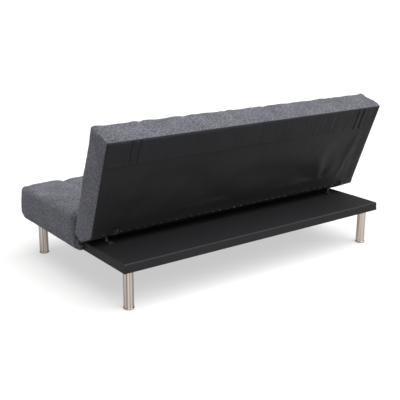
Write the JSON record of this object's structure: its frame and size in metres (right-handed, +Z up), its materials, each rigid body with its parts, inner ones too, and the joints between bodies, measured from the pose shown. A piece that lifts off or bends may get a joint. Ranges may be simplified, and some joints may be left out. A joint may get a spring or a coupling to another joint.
{
  "type": "futon sofa bed",
  "caption": "Armless click-clack sofa bed: tufted grey seat and hinged back on a low frame with a black cloth shelf behind and chromed tube legs.",
  "frame": {"origin": "on the floor under the middle of the base", "axes": "+X along the sofa's length, -Y to the front of the seat, +Z up"},
  "size_m": [1.75, 1.034, 0.8362],
  "materials": {
    "grey_cloth": "matte",
    "black_cloth": "matte",
    "dust_cloth": "matte",
    "foam": "matte",
    "plywood": "matte",
    "timber": "matte",
    "black_plastic": "matte",
    "chromed_tube": "satin",
    "zinc_fasteners": "satin",
    "hinge_steel": "satin"
  },
  "bodies": {
    "base": {"base_dust_cloth": "dust_cloth", "bearer_centre": "timber", "bearer_left": "timber", "bearer_right": "timber", "bracket_screws": "zinc_fasteners", "corner_blocks": "timber", "frame_end_rail_left": "timber", "frame_end_rail_right": "timber", "frame_front_rail": "timber", "frame_noggings": "timber", "frame_rear_rail": "timber", "frame_screws": "zinc_fasteners", "hinge_bracket_left": "hinge_steel", "hinge_bracket_right": "hinge_steel", "leg_bolts": "zinc_fasteners", "leg_front_left": "chromed_tube", "leg_front_right": "chromed_tube", "leg_glide_front_left": "black_plastic", "leg_glide_front_right": "black_plastic", "leg_glide_rear_left": "black_plastic", "leg_glide_rear_right": "black_plastic", "leg_rear_left": "chromed_tube", "leg_rear_right": "chromed_tube", "leg_tee_nuts": "zinc_fasteners", "pivot_bolt_left": "zinc_fasteners", "pivot_bolt_right": "zinc_fasteners", "seat_cover": "grey_cloth", "seat_foam": "foam", "seat_slats": "timber", "shelf_cover": "black_cloth", "shelf_deck": "plywood"},
    "backrest": {"arm_bolts": "zinc_fasteners", "back_bottom_rail": "timber", "back_centre_stile": "timber", "back_cover": "grey_cloth", "back_end_stile_left": "timber", "back_end_stile_right": "timber", "back_foam": "foam", "back_rear_cloth": "dust_cloth", "back_slats": "timber", "back_top_band": "black_cloth", "back_top_rail": "timber", "hinge_arm_left": "hinge_steel", "hinge_arm_right": "hinge_steel", "hinge_stile_left": "timber", "hinge_stile_right": "timber", "pawl_pins": "zinc_fasteners"},
    "pawl_left_arm": {"pawl_left": "hinge_steel"},
    "pawl_right_arm": {"pawl_right": "hinge_steel"}
  },
  "joints": [
    {"name": "back_recline", "type": "hinge", "parent": "base", "child": "backrest", "pos_m": [0, 0.19776, 0.33135], "axis": [-1, 0, 0], "range_deg": [-12, 69.6]},
    {"name": "pawl_left_swing", "type": "hinge", "parent": "backrest", "child": "pawl_left_arm", "pos_m": [-0.754, 0.1927, 0.38658], "axis": [-1, 0, 0], "range_deg": [0, 8]},
    {"name": "pawl_right_swing", "type": "hinge", "parent": "backrest", "child": "pawl_right_arm", "pos_m": [0.754, 0.1927, 0.38658], "axis": [-1, 0, 0], "range_deg": [0, 8]}
  ]
}
